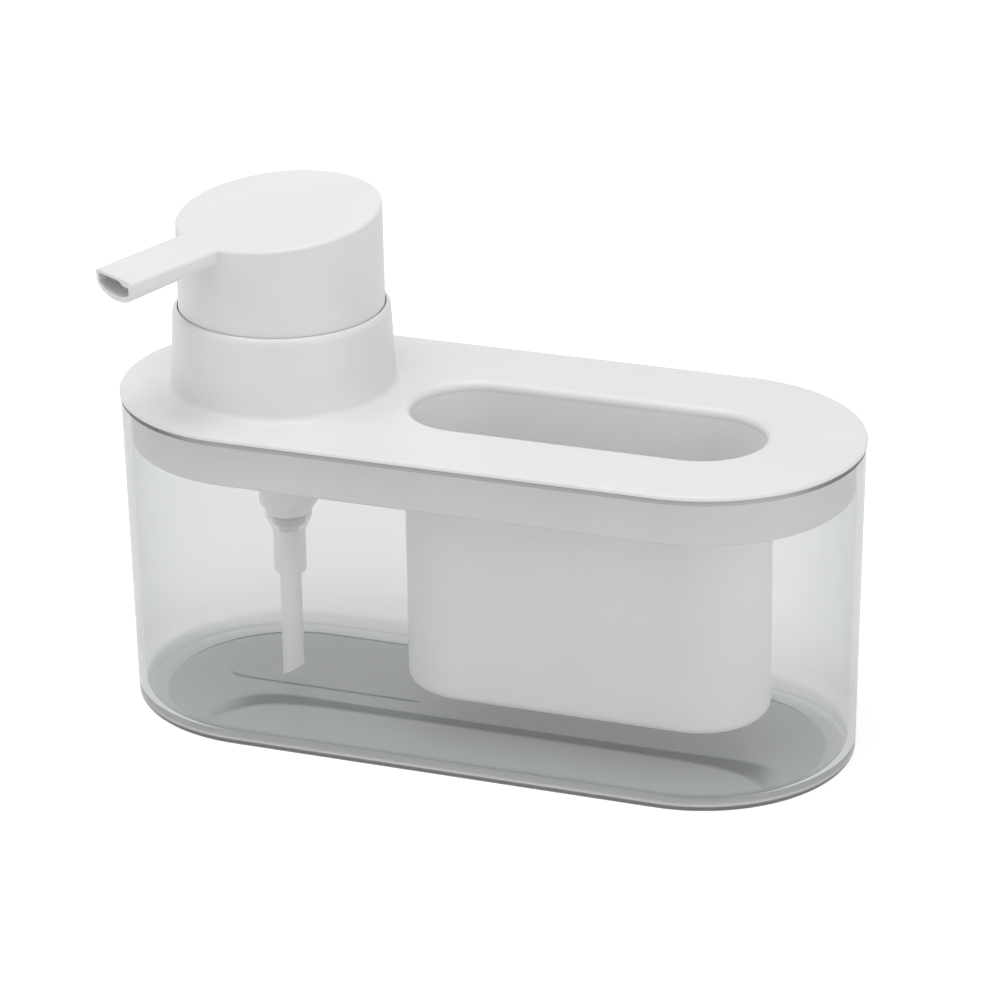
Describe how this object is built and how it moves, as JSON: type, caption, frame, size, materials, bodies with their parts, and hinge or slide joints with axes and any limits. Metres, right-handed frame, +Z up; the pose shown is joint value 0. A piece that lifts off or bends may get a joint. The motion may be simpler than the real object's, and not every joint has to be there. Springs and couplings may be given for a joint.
{
  "type": "soap pump caddy",
  "caption": "Clear racetrack tub whose moulded lid carries a round press-down soap pump with a straight swivelling spout and a deep open well for a sponge.",
  "frame": {"origin": "middle of the tub's foot, on the plane it stands on", "axes": "+X along the tub towards the sponge end, +Y to the back, +Z up"},
  "size_m": [0.2204, 0.0999, 0.152],
  "materials": {
    "clear_styrene": "clear moulded styrene, polished mould",
    "satin_white": "light grey-white moulded ABS, satin",
    "well_white": "light grey-white moulded ABS, satin",
    "ring_white": "white moulded polypropylene",
    "gasket_foam": "pale soft foam",
    "guide_white": "white moulded polypropylene",
    "natural_barrel": "milky natural polypropylene",
    "natural_cage": "grey moulded polyethylene",
    "inlet_steel": "ground steel ball",
    "natural_tube": "extruded natural polyethylene",
    "spring_wire": "drawn steel wire",
    "follower_white": "white moulded polyethylene",
    "piston_natural": "soft natural polyethylene",
    "stem_white": "white moulded polypropylene",
    "hub_white": "white moulded polypropylene",
    "outlet_steel": "ground steel ball",
    "head_white": "light grey-white moulded ABS, satin"
  },
  "bodies": {
    "tub": {"reservoir": "clear_styrene"},
    "lid": {"lid": "satin_white", "sponge_well": "well_white", "lock_ring": "ring_white", "housing_gasket": "gasket_foam", "stem_guide": "guide_white", "pump_housing": "natural_barrel", "valve_cage": "natural_cage", "dip_tube": "natural_tube", "return_spring": "spring_wire"},
    "inlet_ball": {"inlet_ball": "inlet_steel"},
    "plunger": {"piston": "piston_natural", "spring_follower": "follower_white"},
    "head": {"head_shell": "head_white", "stem_hub": "hub_white", "stem": "stem_white"},
    "outlet_ball": {"outlet_ball": "outlet_steel"}
  },
  "joints": [
    {"name": "lid_lift", "type": "slide", "parent": "tub", "child": "lid", "axis": [0, 0, 1], "range_m": [0, 0.11]},
    {"name": "pump_press", "type": "slide", "parent": "lid", "child": "plunger", "axis": [0, 0, -1], "range_m": [0, 0.014], "stiffness_N_per_m": 700, "springref_m": -0.008, "deforming": ["return_spring"]},
    {"name": "head_swivel", "type": "hinge", "parent": "plunger", "child": "head", "pos_m": [-0.0625, 0, 0.1], "axis": [0, 0, 1], "continuous": true},
    {"name": "inlet_ball_lift", "type": "slide", "parent": "lid", "child": "inlet_ball", "axis": [0, 0, 1], "range_m": [0, 0.0014]},
    {"name": "outlet_ball_lift", "type": "slide", "parent": "head", "child": "outlet_ball", "axis": [0, 0, 1], "range_m": [0, 0.0014]}
  ]
}
